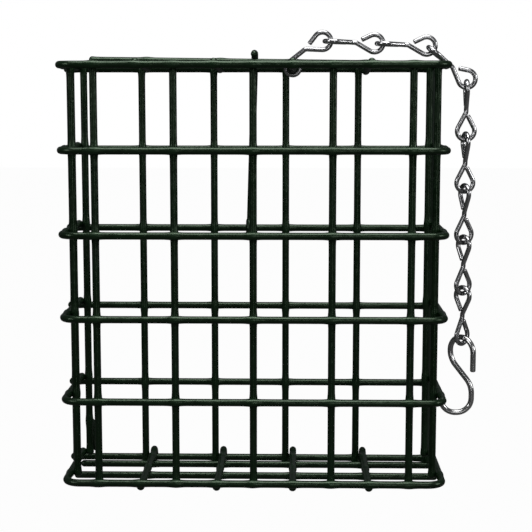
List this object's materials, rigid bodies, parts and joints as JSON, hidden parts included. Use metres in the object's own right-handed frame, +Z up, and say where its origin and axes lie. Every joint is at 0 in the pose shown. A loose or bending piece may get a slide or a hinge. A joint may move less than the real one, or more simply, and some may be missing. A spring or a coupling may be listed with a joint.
{
  "type": "hanging bird feeder",
  "caption": "Wire mesh suet cage with a rear door on wire curls, a hooked spring latch, and a link chain with an S-hook draped over its top.",
  "frame": {"origin": "the hanging point: the centre of the top wire inside the chain's first eye", "axes": "+Z up, +Y from the front rails back to the door, +X to the right, towards the hanging run of the chain"},
  "size_m": [0.1428, 0.0507, 0.1538],
  "materials": {
    "coating": "dark green plastic coating, satin, on steel wire",
    "zinc": "bright zinc-plated steel wire, slightly cloudy"
  },
  "bodies": {
    "cage": {"basket_rail_1": "coating", "basket_rail_2": "coating", "basket_rail_3": "coating", "basket_rail_4": "coating", "basket_rail_5": "coating", "basket_rail_6": "coating", "front_upright_1": "coating", "front_upright_2": "coating", "front_upright_3": "coating", "front_upright_4": "coating", "front_upright_5": "coating", "side_upright_left_mid": "coating", "side_upright_left_rear": "coating", "side_upright_right_mid": "coating", "side_upright_right_rear": "coating", "floor_wire_1": "coating", "floor_wire_2": "coating", "floor_wire_3": "coating", "floor_wire_4": "coating", "floor_cross_wire_1": "coating", "floor_cross_wire_2": "coating", "corner_stop": "coating", "top_wire_1": "coating", "top_wire_2": "coating", "top_wire_3": "coating", "top_wire_4": "coating", "top_cross_wire": "coating"},
    "door": {"door_rail_1": "coating", "door_rail_2": "coating", "door_rail_3": "coating", "door_rail_4": "coating", "door_rail_5": "coating", "door_rail_6": "coating", "door_upright_1": "coating", "door_upright_2": "coating", "door_upright_3": "coating", "door_upright_4": "coating", "door_upright_5": "coating", "door_upright_6": "coating"},
    "latch": {"latch_wire": "coating"},
    "link_1": {"chain_link_1": "zinc"},
    "link_2": {"chain_link_2": "zinc"},
    "link_3": {"chain_link_3": "zinc"},
    "link_4": {"chain_link_4": "zinc"},
    "link_5": {"chain_link_5": "zinc"},
    "link_6": {"chain_link_6": "zinc"},
    "link_7": {"chain_link_7": "zinc"},
    "link_8": {"chain_link_8": "zinc"},
    "link_9": {"chain_link_9": "zinc"},
    "hook": {"s_hook": "zinc"}
  },
  "joints": [
    {"name": "door_hinge", "type": "hinge", "parent": "cage", "child": "door", "pos_m": [-0.0125, 0.0155, -0.13856], "axis": [-1, 0, 0], "range_deg": [0, 110]},
    {"name": "latch_hinge", "type": "hinge", "parent": "door", "child": "latch", "pos_m": [-0.0151, 0.0155, -0.05546], "axis": [-1, 0, 0], "range_deg": [0, 70]},
    {"name": "chain_hinge_1", "type": "hinge", "parent": "cage", "child": "link_1", "pos_m": [0, 0, 0], "axis": [0, -1, 0], "range_deg": [0, 35]},
    {"name": "chain_hinge_2", "type": "hinge", "parent": "link_1", "child": "link_2", "pos_m": [0.00991, 0, 0.00893], "axis": [0, -1, 0], "range_deg": [0, 30]},
    {"name": "chain_hinge_3", "type": "hinge", "parent": "link_2", "child": "link_3", "pos_m": [0.02735, 0, 0.00814], "axis": [0, -1, 0], "range_deg": [0, 30]},
    {"name": "chain_hinge_4", "type": "hinge", "parent": "link_3", "child": "link_4", "pos_m": [0.04478, 0, 0.00734], "axis": [0, -1, 0], "range_deg": [0, 35]},
    {"name": "chain_hinge_5", "type": "hinge", "parent": "link_4", "child": "link_5", "pos_m": [0.05834, 0, -0.00364], "axis": [0, -1, 0], "range_deg": [0, 40]},
    {"name": "chain_hinge_6", "type": "hinge", "parent": "link_5", "child": "link_6", "pos_m": [0.05834, 0, -0.02109], "axis": [0, -1, 0], "range_deg": [0, 35]},
    {"name": "chain_hinge_7", "type": "hinge", "parent": "link_6", "child": "link_7", "pos_m": [0.05834, 0, -0.03854], "axis": [0.1908, -0.9816, 0], "range_deg": [0, 35]},
    {"name": "chain_hinge_8", "type": "hinge", "parent": "link_7", "child": "link_8", "pos_m": [0.05834, 0, -0.05599], "axis": [0.3746, -0.9272, 0], "range_deg": [0, 35]},
    {"name": "chain_hinge_9", "type": "hinge", "parent": "link_8", "child": "link_9", "pos_m": [0.05834, 0, -0.07344], "axis": [0.5446, -0.8387, 0], "range_deg": [0, 35]},
    {"name": "hook_hinge", "type": "hinge", "parent": "link_9", "child": "hook", "pos_m": [0.05834, 0, -0.09089], "axis": [0.6947, -0.7193, 0], "range_deg": [0, 35]}
  ]
}
